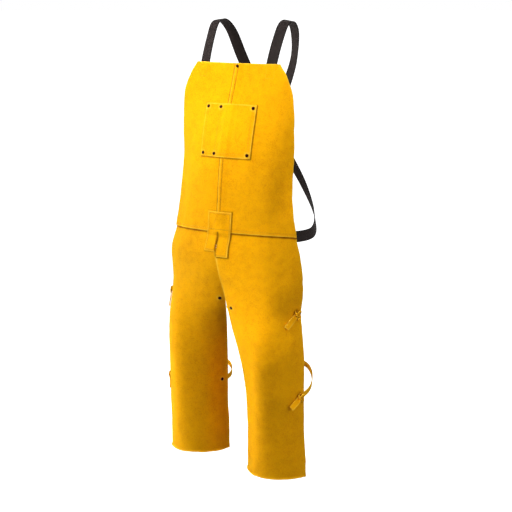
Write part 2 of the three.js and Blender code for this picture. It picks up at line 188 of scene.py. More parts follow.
# Sewing: places of the rows, and the size of a stitch
WAIST_ROW = WAIST + 8
STITCH_INSET = Sizes(pocket=10, patch=4.5)
ROW_END = Sizes(clear=3, side=6, top=18)
STRAP_BOX = Sizes(half=12, top=7, foot=4)
STITCH = Sizes(pitch=4.2, radius=0.5, half=1.55, clear=7)

# Sizes of mesh steps and counts of mesh lines
STEP = Sizes(bib=2.5, leg=3.0, leg_across=11, pocket=2.4, patch=2.2, tail=2.0)
LINES = Sizes(seam=20, bib=88, strap=420, webbing=12, tie=220, lace=8, loop=11, knot=96, tube=12)

# Route of the left strap, and the share of x at which the core lies that it faces away from
STRAP_ROUTE = (
    (110, -54, -52, 0.88),
    (112, -22, -8, 0.88),
    (112, 12, -1, 0.88),
    (106, 50, -28, 0.8),
    (86, 82, -110, 0.55),
    (46, 98, -205, 0.55),
    (0, 103, -300, 0.55),
    (-58, 101, -392, 0.55),
    (-122, 82, -474, 0.55),
    (-184, 32, -548, 0.55),
    (-217, -42, -586, 0.55),
)

SECTIONS = {
    side: {name: np.array(column, float) for name, column in zip(COLUMNS, zip(*BIB, *LEG[side]))}
    for side in SIGN
}


def column_at(side, name, z):
    """Values of one column at heights z, on a smooth curve through the rows."""
    heights = SECTIONS[side]["z"]
    values = SECTIONS[side][name]
    last = len(heights) - 1
    row = np.arange(last + 1)
    before = np.maximum(row - 1, 0)
    after = np.minimum(row + 1, last)
    slope = (values[after] - values[before]) / (heights[after] - heights[before])
    i = np.clip(np.searchsorted(-heights, -z) - 1, 0, last - 1)
    run = heights[i + 1] - heights[i]
    t = np.clip((z - heights[i]) / run, 0, 1)
    return (
        (2 * t**3 - 3 * t**2 + 1) * values[i]
        + (t**3 - 2 * t**2 + t) * run * slope[i]
        + (3 * t**2 - 2 * t**3) * values[i + 1]
        + (t**3 - t**2) * run * slope[i + 1]
    )


def width_at(side, z):
    """Width of one side at a height."""
    return float(column_at(side, "width", np.array([float(z)]))[0])


def slit_at(side, z):
    """Distance across of the slit that a tie comes out through."""
    return width_at(side, z) - TIE.slit_inset


def ripple(u, v, cell, seed):
    """Smooth seeded noise from -1 to 1 with bumps about one cell wide."""
    lattice = np.random.default_rng(seed).uniform(-1, 1, LATTICE.cells)
    a = u / cell + LATTICE.start[0]
    b = -v / cell + LATTICE.start[1]
    i = np.floor(a).astype(int)
    j = np.floor(b).astype(int)
    s = a - i
    t = b - j
    s = s**3 * (s * (s * 6 - 15) + 10)
    t = t**3 * (t * (t * 6 - 15) + 10)
    upper = lattice[i, j] * (1 - s) + lattice[i + 1, j] * s
    lower = lattice[i, j + 1] * (1 - s) + lattice[i + 1, j + 1] * s
    return upper * (1 - t) + lower * t


def edge_wave(side, wave, places):
    """Waves of a cut edge at places along it."""
    return wave.lift * ripple(places, places * 0, wave.cell, wave.seed + SIGN[side])


def fold_lift(side, across, z):
    """Lift of the folds and ripples at places on one side."""
    lift = np.zeros(np.broadcast(across, z).shape)
    for fold_side, middle, height, wide, tall, rise in FOLDS:
        if fold_side == side:
            lift += rise * np.exp(-(((across - middle) / wide) ** 2) - ((z - height) / tall) ** 2)
    for cell, rise, seed in RIPPLES:
        lift += rise * ripple(SIGN[side] * across, z, cell, seed)
    return lift


def surface(side, across, z):
    """Points of the apron's surface, across from the inner edge at heights z."""
    start = np.radians(column_at(side, "start", z))
    end = np.radians(column_at(side, "end", z))
    width = column_at(side, "width", z)
    bend = (end - start) / width
    heading = start + bend * across
    fold = fold_lift(side, across, z)
    x = column_at(side, "x", z) + (np.sin(heading) - np.sin(start)) / bend + fold * np.sin(heading)
    y = column_at(side, "y", z) + (np.cos(start) - np.cos(heading)) / bend - fold * np.cos(heading)
    drop = column_at(side, "sag", z) * (across / width) ** 2
    return np.stack([SIGN[side] * x, y, z - drop], -1)


def unit(vectors):
    return vectors / np.maximum(np.linalg.norm(vectors, axis=-1, keepdims=True), 1e-9)


def axes_at(side, across, z):
    """Directions along the section, up the panel and outward."""
    step = 0.5
    along = unit(surface(side, across + step, z) - surface(side, across - step, z))
    upward = surface(side, across, z + step) - surface(side, across, z - step)
    outward = unit(np.cross(along, upward) * SIGN[side])
    up = np.cross(outward, along) * SIGN[side]
    return along, up, outward


def raised(side, across, z, lift):
    """Points above the surface by a lift."""
    return surface(side, across, z) + axes_at(side, across, z)[2] * lift[..., None]


def raised_signed(across, z, lift):
    """The same for distances from the centre seam, with the wearer's left counted up."""
    right = raised("right", -across, z, lift)
    left = raised("left", across, z, lift)
    return np.where((across < 0)[..., None], right, left)


def seam_shift(z):
    """Lean of the centre seam towards the left, above the pocket."""
    return SEAM.shift * np.clip((z - SEAM.turn) / (BIB_TOP - SEAM.turn), 0, 1)


def seam_lift(across, z):
    """Lift of the left half where it laps over the right one."""
    return LAYER * (1 - np.clip((across - SEAM.flat - seam_shift(z)) / SEAM.ease, 0, 1))


def cover_lift(across, z):
    """Lift of what is sewn on over the centre seam."""
    return LAYER + seam_lift(np.abs(across), z)


def run_length(points):
    """Length along a path at each of its points."""
    return np.concatenate([[0], np.cumsum(np.linalg.norm(np.diff(points, axis=0), axis=1))])


def nearest(*distances):
    """The least of some distances at each place."""
    return reduce(np.minimum, distances)


def half_thickness(distance, thickness):
    """Half the leather's thickness, rounded off within a millimetre of a cut edge."""
    share = np.clip(distance / EDGE_ROUND, 0, 1)
    return thickness / 2 * (EDGE_LEFT + (1 - EDGE_LEFT) * np.sqrt(1 - (1 - share) ** 2))


def spaced(start, end, step, edges=(True, True)):
    """Steps between two cut edges, with close ones at the edges."""
    first = start + EDGE_STEPS if edges[0] else np.array([start])
    last = end - EDGE_STEPS[::-1] if edges[1] else np.array([end])
    count = max(int(round((last[0] - first[-1]) / step)), 1)
    between = np.linspace(first[-1], last[0], count + 1)[1:-1]
    return np.concatenate([first, between, last])


def add_object(name, data):
    item = bpy.data.objects.new(name, data)
    bpy.context.scene.collection.objects.link(item)
    return item


def mesh_object(name, points, faces, material, slot, flat=None, **marks):
    """A smooth mesh in the frame, with the flat cut as its map and marks such as worn edges."""
    mesh = bpy.data.meshes.new(name)
    mesh.from_pydata((points * MM).tolist(), [], faces)
    mesh.polygons.foreach_set("use_smooth", np.ones(len(mesh.polygons), bool))
    if flat is not None:
        corner = np.zeros(len(mesh.loops), np.int32)
        mesh.loops.foreach_get("vertex_index", corner)
        layer = mesh.uv_layers.new(name="Cut")
        layer.data.foreach_set("uv", (flat * MM)[corner].astype(np.float32).ravel())
    for mark, values in marks.items():
        attribute = mesh.attributes.new(mark, "FLOAT", "POINT")
        attribute.data.foreach_set("value", np.asarray(values, np.float32).ravel())
    mesh.materials.append(material)
    mesh.update()
    piece = add_object(name, mesh)
    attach(piece, "root")
    return piece


def wall_faces(rows, columns, mirrored, keep, first):
    """Faces of a closed wall over a net, with a rim along every open edge."""
    count = rows * columns
    index = np.arange(count).reshape(rows, columns)
    quads = np.stack([index[:-1, :-1], index[1:, :-1], index[1:, 1:], index[:-1, 1:]], -1)
    quads = quads.reshape(-1, 4) if keep is None else quads[keep]
    if mirrored:
        quads = quads[:, ::-1]
    edges = np.stack([quads, np.roll(quads, -1, 1)], -1).reshape(-1, 2)
    code = edges[:, 0] * count + edges[:, 1]
    mate = edges[:, 1] * count + edges[:, 0]
    rim = edges[~np.isin(code, mate)]
    sides = np.stack([rim[:, 1], rim[:, 0], rim[:, 0] + count, rim[:, 1] + count], -1)
    return (np.concatenate([quads, quads[:, ::-1] + count, sides]) + first).tolist()


def ring_faces(rows, columns, closed, first):
    """Faces of a tube of rows of points, closed on itself or open at its ends."""
    index = np.arange(rows * columns).reshape(rows, columns) + first
    below = np.roll(index, -1, 0) if closed else index[1:]
    above = index if closed else index[:-1]
    quads = np.stack([above, np.roll(above, -1, 1), np.roll(below, -1, 1), below], -1)
    return quads.reshape(-1, 4).tolist()


def wall_parts(outer, inner, flat, mirrored=False, keep=None, first=0):
    """Points, faces and flat cut of a closed wall between two nets of points."""
    points = np.concatenate([outer.reshape(-1, 3), inner.reshape(-1, 3)])
    faces = wall_faces(*outer.shape[:2], mirrored, keep, first)
    return points, faces, np.tile(flat.reshape(-1, 2), (2, 1))


def wall_object(name, outer, inner, flat, mirrored, material, slot, keep=None, **marks):
    """A closed wall between an outer and an inner net of points, with painted shade on the outer one
    only.
    """
    points, faces, flats = wall_parts(outer, inner, flat, mirrored, keep)
    twice = {
        mark: np.concatenate([values.ravel(), values.ravel() * (mark != "soil")])
        for mark, values in marks.items()
    }
    return mesh_object(name, points, faces, material, slot, flats, **twice)


def edge_wear(distance, wide=2.1):
    """Wear of the leather beside a cut edge."""
    return np.exp(-((distance / wide) ** 2))


def rivet_ring(across, z, places):
    """Wear where the leather is pressed up round rivets."""
    ring = np.zeros(np.broadcast(across, z).shape)
    for s, height in places:
        away = np.hypot(across - s, z - height)
        off = (away - RIVET_RING.radius) / RIVET_RING.wide
        ring = np.maximum(ring, RIVET_RING.wear * np.exp(-(off**2)))
    return ring


def soil(across, z, lines, wide=1.9):
    """Painted shade along lines of distances across and heights, each with its strength: shadows beside
    raised edges and shade in seams, sewing and slits.
    """
    place = np.stack(np.broadcast_arrays(across, z), -1)
    dark = np.zeros(place.shape[:-1])
    for strength, path in lines:
        path = np.array(path, float)
        for start, way in zip(path, np.diff(path, axis=0)):
            t = np.clip((place - start) @ way / (way @ way), 0, 1)
            away = np.linalg.norm(place - start - t[..., None] * way, axis=-1)
            dark = np.maximum(dark, strength * np.exp(-((away / wide) ** 2)))
    return dark


# Materials
def shader(name):
    material = bpy.data.materials.new(name)
    material.use_nodes = True
    tree = material.node_tree
    return material, tree, tree.nodes["Principled BSDF"]


def feed(tree, item, inputs):
    """Links or sets inputs of a node."""
    for name, value in inputs.items():
        if isinstance(value, bpy.types.NodeSocket):
            tree.links.new(value, item.inputs[name])
        else:
            item.inputs[name].default_value = value


def node(tree, kind, output, inputs, **settings):
    """One output of a new node."""
    item = tree.nodes.new(f"ShaderNode{kind}")
    for setting, value in settings.items():
        setattr(item, setting, value)
    feed(tree, item, inputs)
    return item.outputs[output]


def noise(tree, vector, scale, detail=3.0, rough=0.55):
    inputs = {"Vector": vector, "Scale": scale, "Detail": detail, "Roughness": rough}
    return node(tree, "TexNoise", "Fac", inputs)


def maths(tree, kind, a, b=0.0):
    """Result of one sum on values or numbers."""
    return node(tree, "Math", 0, {0: a, 1: b}, operation=kind)


def weighted(tree, a, share, b):
    """Mean of two values, the first one counted by its share."""
    return maths(tree, "ADD", maths(tree, "MULTIPLY", a, share), maths(tree, "MULTIPLY", b, 1 - share))


def marked(tree, name):
    """Value of a mark that the mesh carries."""
    return node(tree, "Attribute", "Fac", {}, attribute_name=name)


def mix_colour(tree, factor, a, b):
    """Colour between two colours by a factor."""
    a, b = ((*value, 1) if isinstance(value, tuple) else value for value in (a, b))
    return node(tree, "Mix", "Result", {"Factor": factor, "A": a, "B": b}, data_type="RGBA")


def span(tree, value, low, high, to_low=0.0, to_high=1.0):
    """Value carried over from one range to another."""
    inputs = {"Value": value, "From Min": low, "From Max": high, "To Min": to_low, "To Max": to_high}
    return node(tree, "MapRange", "Result", inputs)


def bump(tree, height, distance, strength, **coarser):
    """Fine relief from a height, on a coarser one if there is one."""
    inputs = {"Height": height, "Distance": distance, "Strength": strength, **coarser}
    return node(tree, "Bump", "Normal", inputs)


def place_vector(tree, stretch=(1, 1, 1)):
    """Place on the object, stretched along its axes."""
    where = node(tree, "TexCoord", "Object", {})
    return node(tree, "Mapping", "Vector", {"Vector": where, "Scale": stretch})


def suede(name, deep, middle, pale, edge, shade_paint=(0.15, 0.015, 0.0)):
    """Split cowhide: a short nap brushed light and dark, mottles, pale cut edges, and painted shade
    where the mesh carries it.
    """
    material, tree, skin = shader(name)
    plain = place_vector(tree)
    broad = noise(tree, place_vector(tree, (1, 1, 0.35)), 16)
    mottle = noise(tree, plain, 55)
    nap = noise(tree, plain, 300, rough=0.6)
    fibre = noise(tree, plain, 1250, detail=2.0, rough=0.6)
    coarse = weighted(tree, broad, 0.5, mottle)
    fine = weighted(tree, nap, 0.6, fibre)
    tone = mix_colour(tree, span(tree, coarse, 0.32, 0.6, 0.3, 1.0), deep, middle)
    tone = mix_colour(tree, span(tree, fine, 0.42, 0.68, 0.0, 0.75), tone, pale)
    flecks = span(tree, nap, 0.3, 0.42, 0.4, 0.0)
    tone = mix_colour(tree, flecks, tone, deep)
    rubbed = maths(tree, "MULTIPLY", marked(tree, "wear"), span(tree, mottle, 0.3, 0.6, 0.35, 0.8))
    tone = mix_colour(tree, rubbed, tone, edge)
    # Painted shade: the colour turns towards the dark shade colour where the mesh carries painted shade,
    # and the sheen fades there
    painted_shading = maths(tree, "MULTIPLY", marked(tree, "soil"), span(tree, mottle, 0.3, 0.7, 0.95, 0.7))
    relief = bump(tree, mottle, 0.0022, 0.35)
    relief = bump(tree, nap, 0.0006, 0.55, Normal=relief)
    feed(tree, skin, {
        "Base Color": mix_colour(tree, painted_shading, tone, shade_paint),
        "Roughness": span(tree, fine, 0.3, 0.7, 0.97, 0.86),
        "Normal": bump(tree, fibre, 0.0003, 0.5, Normal=relief),
        "Sheen Weight": span(tree, painted_shading, 0.0, 0.5, 0.3, 0.0),
        "Specular IOR Level": 0.05,
        "Sheen Roughness": 0.5,
        "Sheen Tint": (0.75, 1.0, 0.02, 1),
    })
    return material


def woven(name, dark, light, edge):
    """Webbing of flat yarns: ribs along it, crossed by the weft, with dark selvages."""
    material, tree, skin = shader(name)
    flat = node(tree, "UVMap", "UV", {}, uv_map="Cut")
    yarn = 0.0022
    turn = 2 * math.pi / yarn
    ways = [node(tree, "SeparateXYZ", axis, {"Vector": flat}) for axis in ("X", "Y")]
    across, along = (maths(tree, "SINE", maths(tree, "MULTIPLY", way, turn)) for way in ways)
    weave = span(tree, maths(tree, "MULTIPLY", across, along), -1, 1)
    grain = noise(tree, place_vector(tree), 900, detail=2.0)
    height = weighted(tree, weave, 0.8, grain)
    tone = mix_colour(tree, height, dark, light)
    feed(tree, skin, {
        "Base Color": mix_colour(tree, marked(tree, "wear"), tone, edge),
        "Roughness": span(tree, height, 0, 1, 0.85, 0.62),
        "Normal": bump(tree, height, 0.0005, 0.8),
        "Specular IOR Level": 0.1,
        "Sheen Weight": 0.02,
    })
    return material


def dark_metal(name, base, worn):
    """Oxidised rivet metal, rubbed a little brighter in patches."""
    material, tree, skin = shader(name)
    patches = noise(tree, place_vector(tree), 700, detail=4.0, rough=0.65)
    feed(tree, skin, {
        "Base Color": mix_colour(tree, span(tree, patches, 0.5, 0.75), base, worn),
        "Roughness": span(tree, patches, 0.3, 0.7, 0.28, 0.5),
        "Normal": bump(tree, patches, 0.0002, 0.3),
        "Metallic": 0.1,
        "Specular IOR Level": 0.05,
    })
    return material


def twisted(name, dark, light):
    """Sewing thread with a slight twist of light and dark."""
    material, tree, skin = shader(name)
    plies = noise(tree, place_vector(tree), 1600, detail=2.0)
    feed(tree, skin, {
        "Base Color": mix_colour(tree, span(tree, plies, 0.35, 0.65), dark, light),
        "Roughness": span(tree, plies, 0.3, 0.7, 0.75, 0.55),
        "Normal": bump(tree, plies, 0.0002, 0.6),
        "Specular IOR Level": 0.15,
    })
    return material


LEATHER_LOOK = suede(
    "golden_split_leather", deep=(0.70, 0.235, 0.0), middle=(0.93, 0.385, 0.0),
    pale=(1.0, 0.53, 0.003), edge=(1.0, 0.64, 0.05),
)
TIE_LOOK = suede(
    "golden_leather_lace", deep=(0.82, 0.31, 0.0), middle=(0.95, 0.41, 0.001),
    pale=(1.0, 0.50, 0.005), edge=(1.0, 0.62, 0.05),
)
WEBBING_LOOK = woven(
    "dark_webbing", dark=(0.010, 0.007, 0.006), light=(0.036, 0.026, 0.024), edge=(0.006, 0.005, 0.005),
)
RIVET_LOOK = dark_metal("oxidised_rivet", base=(0.020, 0.001, 0.0004), worn=(0.05, 0.008, 0.003))
THREAD_LOOK = twisted("golden_thread", dark=(0.62, 0.25, 0.001), light=(0.95, 0.48, 0.015))


# Rows of sewing
def pocket_sewing():
    """Round the pocket but for its mouth, and down the pencil slot."""
    inset = STITCH_INSET.pocket
    top = POCKET.top - ROW_END.clear
    foot = POCKET.bottom + inset
    first = POCKET.start + inset
    last = POCKET.end - inset
    return [
        [(first, top), (first, foot), (last, foot), (last, top)],
        [(POCKET.slot, top), (POCKET.slot, foot)],
    ]


def patch_sewing():
    """Round the patch and its tabs, and across it above the waist."""
    inset = STITCH_INSET.patch
    right_foot = PATCH.right + inset
    left_foot = PATCH.left + inset
    first = PATCH.start + inset
    last = PATCH.end - inset
    top = PATCH.top - inset
    slit_top = WAIST - 8
    cross_row = WAIST + 7
    return [
        [
            (-inset, slit_top), (-inset, right_foot), (first, right_foot), (first, top),
            (last, top), (last, left_foot), (inset, left_foot), (inset, slit_top),
        ],
        [(first, cross_row), (last, cross_row)],
    ]


# Lines of painted shade, each with its strength: shadows beside the raised edges of the pocket and
# patch, stronger on the sides away from the light, and under the bib's edge, with shade in the seam, the
# sewing rows and the slit
BESIDE = 1.6
SEAM_EDGE = -SEAM.lap - 1.4
UNDER_BIB = WAIST - 2
PAST_SIDES = 260
pocket_right = POCKET.start - BESIDE
pocket_left = POCKET.end + BESIDE
pocket_foot = POCKET.bottom - BESIDE
patch_right = PATCH.start - BESIDE
patch_left = PATCH.end + BESIDE
patch_top = PATCH.top + BESIDE
BIB_SHADE_LINES = [
    (0.3, [(pocket_right, POCKET.top), (pocket_right, POCKET.bottom)]),
    (0.75, [(POCKET.start, pocket_foot), (POCKET.end, pocket_foot)]),
    (0.85, [(pocket_left, POCKET.bottom), (pocket_left, POCKET.top)]),
    (0.2, [(patch_right, WAIST), (patch_right, patch_top)]),
    (0.45, [(patch_right, patch_top), (patch_left, patch_top)]),
    (0.85, [(patch_left, patch_top), (patch_left, WAIST)]),
    (0.15, [(-PAST_SIDES, WAIST_ROW), (PAST_SIDES, WAIST_ROW)]),
]
SEAM_SHADE_LINES = {
    "right": [(1.0, [(SEAM_EDGE + SEAM.shift, BIB_TOP), (SEAM_EDGE, SEAM.turn), (SEAM_EDGE, WAIST)])],
    "left": [(0.75, [(SEAM.row + SEAM.shift, BIB_TOP - 14), (SEAM.row, SEAM.turn), (SEAM.row, WAIST)])],
}
SLIT_SHADE_LINES = [(1.0, [(0, WAIST - 3), (0, PATCH.left)])]
LEG_SHADE_LINES = {
    "right": SLIT_SHADE_LINES + [
        (1.0, [(-PAST_SIDES, UNDER_BIB), (0, UNDER_BIB)]),
        (0.35, [(-BESIDE, PATCH.right), (PATCH.start, PATCH.right - BESIDE)]),
        (0.25, [(patch_right, PATCH.right), (patch_right, WAIST)]),
    ],
    "left": SLIT_SHADE_LINES + [
        (1.0, [(0, UNDER_BIB), (PAST_SIDES, UNDER_BIB)]),
        (0.8, [(0, PATCH.left - BESIDE), (PATCH.end, PATCH.left - BESIDE)]),
        (0.9, [(patch_left, PATCH.left), (patch_left, WAIST)]),
    ],
}

# Painted shadow under a knot
KNOT_SHADE = Sizes(strength=0.85, up=8, down=12)

# Broad soft patches of painted shade on a leg panel, on the right one just under the bib
LEG_SHADE = {"right": [(0.2, [(110, WAIST - 10), (110, WAIST - 60)])], "left": []}

# How wide painted shade spreads beside a line
SPREAD = Sizes(leg=2.6, knot=6.0, shade=55.0, pocket=1.3, patch=1.2, slit=2.2)


# Leather panels
def leather_panel(name, side, across, z, lift, near, keep=None, **marks):
    """A panel raised by a lift over one side, or over both with signed distances across."""
    across, z = np.broadcast_arrays(across, z)
    place = partial(raised, side) if side else raised_signed
    half = half_thickness(near, LEATHER)
    outer, inner = (place(across, z, lift + LEATHER / 2 + shift) for shift in (half, -half))
    flat = np.stack([SIGN.get(side, 1) * across, z], -1)
    return wall_object(name, outer, inner, flat, side == "right", LEATHER_LOOK, "leather", keep, **marks)


def bib_half(side):
    """One half of the bib, with close mesh lines along the seam."""
    z = spaced(WAIST, BIB_TOP, STEP.bib)[::-1, None]
    width = column_at(side, "width", z) + edge_wave(side, BIB_WAVE, z)
    shift = seam_shift(z)
    lap = SIGN[side] * shift - SEAM.lap
    inner = SEAM.flat + shift + SEAM.ease
    seam_own = np.linspace(0, 1, LINES.seam)[1:-1]
    seam = lap + EDGE_ROUND + (inner - lap - EDGE_ROUND) * seam_own
    reach = inner + (width - EDGE_ROUND - inner) * np.linspace(0, 1, LINES.bib)
    across = np.concatenate([lap + EDGE_STEPS, seam, reach, width - EDGE_STEPS[-2::-1]], 1)
    near = nearest(across - lap, width - across, BIB_TOP - z, z - WAIST)
    lift = seam_lift(across, z) if side == "left" else 0
    # Painted shade along the seam, beside the pocket and the patch, and in the waist sewing
    piece = leather_panel(
        f"bib_{side}_leather", side, across, z, lift, near,
        wear=edge_wear(near), soil=soil(SIGN[side] * across, z, BIB_SHADE_LINES + SEAM_SHADE_LINES[side]),
    )
    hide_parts(f"bib_{side}")


def tie_rivets(side):
    """Places of the tie rivets on one side."""
    spots = [TIES[side, level] for level in LEVELS]
    return [(spot.inset, spot.z + spot.rise) for spot in spots]


def tie_shade(side):
    """Painted shadow under the knots."""
    lines = []
    for level in LEVELS:
        z = TIES[side, level].z
        across = slit_at(side, z) - KNOT_OFFSET
        lines.append((KNOT_SHADE.strength, [(across, z + KNOT_SHADE.up), (across, z - KNOT_SHADE.down)]))
    return lines


def leg_panel(side):
    """One leg panel, tucked under the bib at the waist and curled out at its hem."""
    top = WAIST + WAIST_LAP
    rows = spaced(HEM[side] + HEM_END, top, STEP.leg)
    z = np.concatenate([HEM[side] + HEM_ROWS, rows])[::-1, None]
    above = z - HEM[side]
    width = column_at(side, "width", z) + edge_wave(side, LEG_WAVE, z)
    across = GAP / 2 + (width - GAP / 2) * spaced(0, 1000, STEP.leg_across) / 1000
    across[:, :4] = GAP / 2 + EDGE_STEPS
    across[:, -4:] = width - EDGE_STEPS[::-1]
    share = np.clip(1 - above / HEM_WAVE.reach, 0, 1)
    height = z + share * edge_wave(side, HEM_WAVE, across)
    from_side = np.minimum(across - GAP / 2, width - across)
    near = nearest(from_side, above, top - z)
    curl = HEM_CURL.out * np.clip(1 - above / HEM_CURL.reach, 0, 1) ** 2
    curl = curl * np.clip(from_side / HEM_CURL.fade, 0, 1)
    # Painted shade under the bib's edge, beside the patch and the slit, under the knots and, on the
    # right, in a broad patch under the bib
    piece = leather_panel(
        f"leg_{side}_leather", side, across, height, curl - LAYER, near,
        wear=np.maximum(edge_wear(near, wide=3.2), rivet_ring(across, height, tie_rivets(side))),
        soil=np.maximum(
            soil(SIGN[side] * across, height, LEG_SHADE_LINES[side], SPREAD.leg),
            soil(across, height, tie_shade(side), SPREAD.knot),
        ) + soil(across, height, LEG_SHADE[side], SPREAD.shade),
    )
    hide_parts(f"leg_{side}")


# Chest pocket, a little open at its mouth
rivet_columns = (POCKET.start + RIVET.inset, POCKET.slot, POCKET.end - RIVET.inset)
rivet_rows = (POCKET.top - RIVET.inset, POCKET.bottom + RIVET.inset)
pocket_rivets = [(across, z) for z in rivet_rows for across in rivet_columns]


def pocket_lift(across, z):
    """Lift of the pocket's inner face."""
    first, slot, last = rivet_columns
    mouth = np.exp((z - POCKET.top) / POCKET_MOUTH.depth)
    wide = np.sin(np.pi * np.clip((across - slot) / (last - slot), 0, 1)) ** 2
    narrow = np.sin(np.pi * np.clip((slot - across) / (slot - first), 0, 1)) ** 2
    bulge = POCKET_MOUTH.bulge * wide + POCKET_MOUTH.slot_bulge * narrow
    above = z - POCKET_DENT.z
    aside = across - POCKET_DENT.across + POCKET_DENT.lean * above
    bell = np.exp(-((aside / POCKET_DENT.wide) ** 2) - (above / POCKET_DENT.tall) ** 2)
    return cover_lift(across, z) + bulge * mouth + POCKET_DENT.lift * bell


def chest_pocket():
    """The pocket, with its rivets pressed in and painted shade along its sewing."""
    across = spaced(POCKET.start, POCKET.end, STEP.pocket)
    z = spaced(POCKET.bottom, POCKET.top, STEP.pocket)[::-1, None]
    near = nearest(across - POCKET.start, POCKET.end - across, POCKET.top - z, z - POCKET.bottom)
    # Painted shade in the grooves of the sewing
    shade_paint = [(0.15, path) for path in pocket_sewing()]
    piece = leather_panel(
        "pocket_leather", None, across, z, pocket_lift(across, z), near,
        wear=np.maximum(edge_wear(near), rivet_ring(across, z, pocket_rivets)),
        soil=soil(across, z, shade_paint, SPREAD.pocket),
    )
    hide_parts("chest_pocket")


# Patch over the foot of the seam, slit into two tabs below the waist
def patch_foot(across):
    """Height at which each tab of the patch ends."""
    return np.where(across < 0, PATCH.right, PATCH.left)


def patch_place(across, share):
    """Height and lift of the patch at distances across and shares of its fall."""
    z = np.where(
        share <= 1,
        PATCH.top + (WAIST - PATCH.top) * share,
        WAIST + (patch_foot(across) - WAIST) * (share - 1),
    )
    ease = np.clip((share - TABS.ease_from) / TABS.ease_over, 0, 1)
    rise = np.where(across < 0, TABS.right_curl, TABS.left_curl)
    curl = np.clip(share - TABS.curl_from, 0, 1) ** 2 * rise
    return z, cover_lift(across, z) * (1 - ease) + curl


def fly_patch():
    """The patch, with the cells of its net between the tabs left out."""
    half_slit = PATCH.slit / 2
    right = spaced(PATCH.start, -half_slit, STEP.patch)
    left = spaced(half_slit, PATCH.end, STEP.patch)
    columns = np.concatenate([right, left])
    fall = PATCH.top - WAIST
    tab = WAIST - (PATCH.right + PATCH.left) / 2
    lengths = spaced(0, fall, STEP.patch, (True, False)) / fall
    tabs = 1 + spaced(2, tab, STEP.patch, (False, True)) / tab
    shares = np.concatenate([lengths[:-1], tabs])
    across, share = np.broadcast_arrays(columns, shares[:, None])
    z, lift = patch_place(across, share)
    below_top = PATCH.top - z
    near = nearest(across - PATCH.start, PATCH.end - across, below_top, z - patch_foot(across))
    rubbed = edge_wear(np.maximum(near, 0))
    near = np.where(share > 1, np.minimum(near, np.abs(across) - half_slit), near)
    keep = np.ones((len(shares) - 1, len(columns) - 1), bool)
    keep[len(lengths) - 1:, len(right) - 1] = False
    # Painted shade along the patch's sewing and down the slit between its tabs
    shade_paint = [(0.4, path) for path in patch_sewing()]
    piece = leather_panel(
        "patch_leather", None, across, z, lift, np.maximum(near, 0), keep, wear=rubbed,
        soil=np.maximum(
            soil(across, z, shade_paint, SPREAD.patch), soil(across, z, SLIT_SHADE_LINES, SPREAD.slit)
        ),
    )
    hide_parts("fly_patch")


# Bands along smooth routes
def spline(points, t):
    """Centripetal curve through points at values of t from 0 to 1."""
    last = len(points) - 1
    padded = np.concatenate([[2 * points[0] - points[1]], points, [2 * points[-1] - points[-2]]])
    i = np.minimum((t * last).astype(int), last - 1)
    w = (t * last - i)[:, None]
    p0, p1, p2, p3 = (padded[i + k] for k in range(4))
    gaps = (p1 - p0, p2 - p1, p3 - p2)
    d0, d1, d2 = (np.sqrt(np.linalg.norm(gap, axis=1))[:, None] for gap in gaps)
    m1 = ((p1 - p0) / d0 - (p2 - p0) / (d0 + d1) + (p2 - p1) / d1) * d1
    m2 = ((p2 - p1) / d1 - (p3 - p1) / (d1 + d2) + (p3 - p2) / d2) * d1
    c2 = -3 * p1 + 3 * p2 - 2 * m1 - m2
    c3 = 2 * p1 - 2 * p2 + m1 + m2
    return p1 + m1 * w + c2 * w**2 + c3 * w**3


def follow(stretches, count):
    """Centres, directions across and outward ones along a route of stretches of places and hints."""
    places, hints = (np.concatenate(parts) for parts in zip(*stretches))
    t = np.linspace(0, 1, count)
    centre = spline(places, t)
    tangent = unit(np.gradient(centre, axis=0))
    hint = spline(hints, t)
    across = unit(np.cross(hint, tangent))
    outward = unit(np.cross(tangent, across))
    return centre, across, outward


def band_nets(centre, across, outward, width, thickness, columns):
    """Outer and inner nets of a band with rounded edges, its flat cut and its wear."""
    side = spaced(-width / 2, width / 2, width / columns)
    run = run_length(centre)[:, None]
    near = nearest(side + width / 2, width / 2 - side, run, run[-1] - run)
    half = half_thickness(near, thickness)[..., None]
    middle = centre[:, None] + across[:, None] * side[:, None]
    outer = middle + outward[:, None] * half
    inner = middle - outward[:, None] * half
    flat = np.stack(np.broadcast_arrays(side, run), -1)
    return outer, inner, flat, edge_wear(near), float(run[-1, 0])


def stations(side, across, z, lift):
    """Places on the surface and their outward directions."""
    lists = [np.atleast_1d(np.asarray(values, float)) for values in (across, z, lift)]
    across, z, lift = np.broadcast_arrays(*lists)
    return raised(side, across, z, lift), axes_at(side, across, z)[2]


def strap(side):
    """One strap, over the shoulder and crossed behind to the far side edge."""
    inside = -STRAP.gap - WEBBING / 2
    heights = [BIB_TOP - STRAP.tuck, BIB_TOP - STRAP.tuck / 2, BIB_TOP - 2]
    upper = stations(side, STRAP.across, heights, inside)
    free = np.array(STRAP_ROUTE, float)[:, :3]
    share = np.array(STRAP_ROUTE, float)[:, 3]
    free[:, 0] *= SIGN[side]
    if side == "left":
        free[CROSSING_ROWS, 1] += STRAP.crossing
    core = np.stack([free[:, 0] * share, free[:, 0] * 0, np.minimum(free[:, 2], CORE_TOP)], -1)
    far = OTHER[side]
    lower = stations(far, width_at(far, WAIST) - STRAP_ENDS, WAIST + 2, inside - LAYER)
    route = follow([upper, (free, unit(free - core)), lower], LINES.strap)
    outer, inner, flat, wear, length = band_nets(*route, STRAP.width, WEBBING, LINES.webbing)
    piece = wall_object(
        f"strap_{side}_webbing", outer, inner, flat, False, WEBBING_LOOK, "webbing", wear=wear,
    )
    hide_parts(f"strap_{side}")


